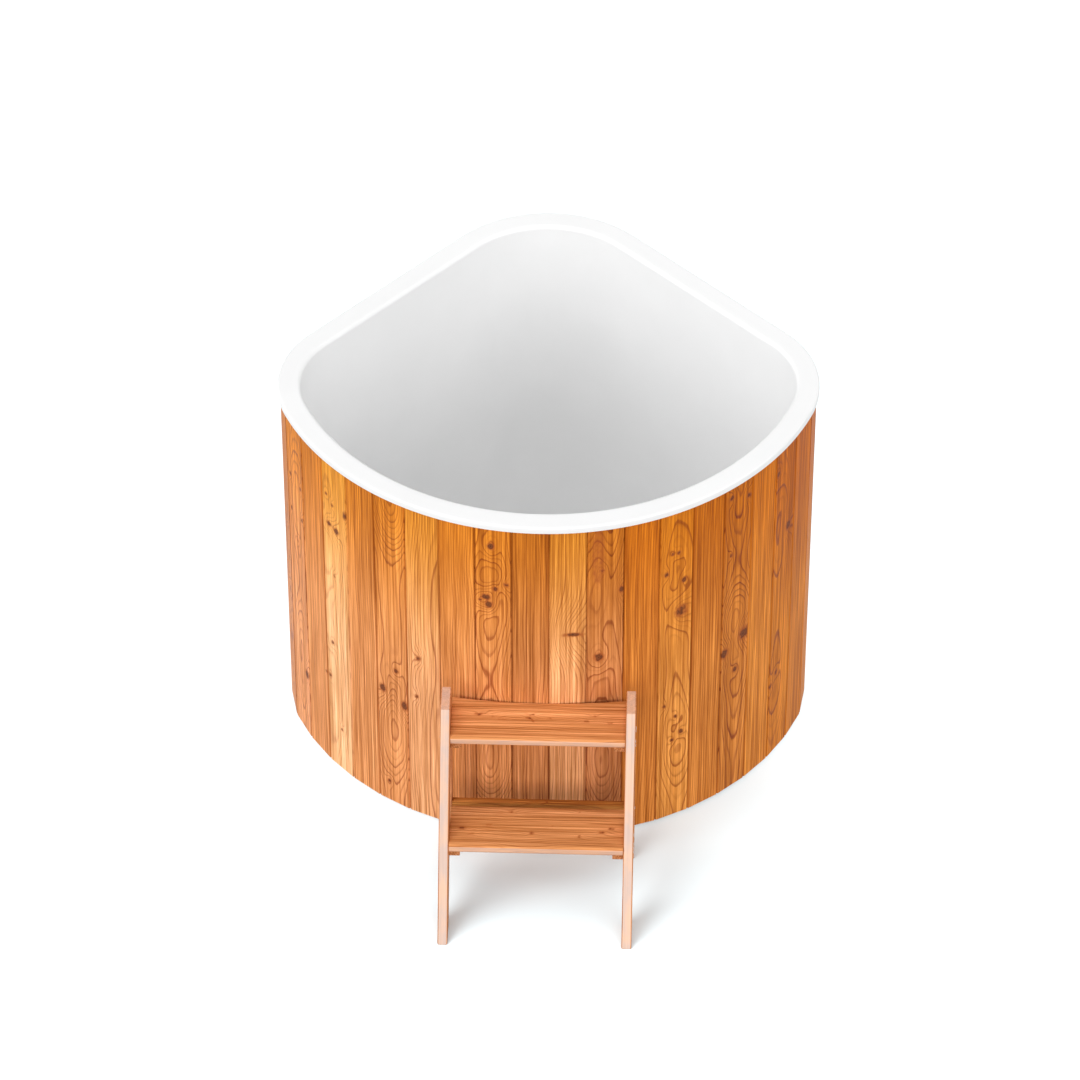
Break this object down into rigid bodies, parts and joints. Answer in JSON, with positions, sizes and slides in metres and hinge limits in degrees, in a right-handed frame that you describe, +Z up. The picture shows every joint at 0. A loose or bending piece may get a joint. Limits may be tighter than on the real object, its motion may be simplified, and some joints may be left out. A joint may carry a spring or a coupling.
{
  "type": "cold plunge tub",
  "caption": "Corner cold plunge tub with a smooth white liner and rolled rim, clad in upright softwood boards, with a rear drain valve and a small wooden step ladder in front.",
  "frame": {"origin": "on the floor, under the centre of the front arc, on the underside of the middle bearer", "axes": "+Z up, +Y to the rounded rear corner, -Y to the ladder, +X to the right seen from the ladder"},
  "size_m": [1.2464, 1.546, 1],
  "materials": {
    "liner_white": "smooth white gelcoat, satin to gloss",
    "cladding_wood": "oiled heat-treated softwood boards with knots",
    "ladder_wood": "oiled softwood, eased edges",
    "frame_plywood": "bare exterior plywood",
    "bearer_wood": "pressure-treated softwood",
    "floor_foam": "rigid foam board",
    "drain_plastic": "light grey plastic",
    "gasket_rubber": "soft rubber",
    "valve_brass": "cast and turned brass",
    "valve_steel": "polished",
    "lever_red": "dipped red coating"
  },
  "bodies": {
    "tub": {"liner": "liner_white", "board_right_01": "cladding_wood", "board_right_02": "cladding_wood", "board_right_03": "cladding_wood", "board_right_04": "cladding_wood", "board_right_05": "cladding_wood", "board_right_06": "cladding_wood", "board_right_07": "cladding_wood", "board_right_08": "cladding_wood", "board_right_09": "cladding_wood", "board_right_10": "cladding_wood", "board_right_11": "cladding_wood", "board_right_12": "cladding_wood", "board_left_01": "cladding_wood", "board_left_02": "cladding_wood", "board_left_03": "cladding_wood", "board_left_04": "cladding_wood", "board_left_05": "cladding_wood", "board_left_06": "cladding_wood", "board_left_07": "cladding_wood", "board_left_08": "cladding_wood", "board_left_09": "cladding_wood", "board_left_10": "cladding_wood", "board_left_11": "cladding_wood", "board_left_12": "cladding_wood", "rear_right_panel": "cladding_wood", "rear_left_panel": "cladding_wood", "rear_corner_panel": "cladding_wood", "lower_rib": "frame_plywood", "upper_rib": "frame_plywood", "top_rib": "frame_plywood", "floor_panel": "frame_plywood", "bearer_front": "bearer_wood", "bearer_middle": "bearer_wood", "bearer_rear_left": "bearer_wood", "bearer_rear_right": "bearer_wood", "floor_foam": "floor_foam", "drain_strainer": "drain_plastic", "drain_body": "drain_plastic", "drain_pipe": "drain_plastic", "drain_gasket": "gasket_rubber", "valve_body": "valve_brass", "valve_end_cap": "valve_brass"},
    "valve_turning": {"valve_ball": "valve_steel", "valve_stem": "valve_steel", "valve_lever": "lever_red"},
    "ladder": {"ladder_stringer_left": "ladder_wood", "ladder_stringer_right": "ladder_wood", "ladder_rear_leg_left": "ladder_wood", "ladder_rear_leg_right": "ladder_wood", "ladder_upper_tread": "ladder_wood", "ladder_lower_tread_front": "ladder_wood", "ladder_lower_tread_back": "ladder_wood", "ladder_rear_slat": "ladder_wood", "ladder_lower_cleat_left": "ladder_wood", "ladder_lower_cleat_right": "ladder_wood", "ladder_upper_cleat_left": "ladder_wood", "ladder_upper_cleat_right": "ladder_wood"}
  },
  "joints": [
    {"name": "valve_turn", "type": "hinge", "parent": "tub", "child": "valve_turning", "pos_m": [0, 0.48617, 0.024], "axis": [0, 0, 1], "range_deg": [0, 90]},
    {"name": "ladder_pull_away", "type": "slide", "parent": "tub", "child": "ladder", "axis": [-0.0349, -0.9994, 0], "range_m": [0, 0.6]}
  ]
}
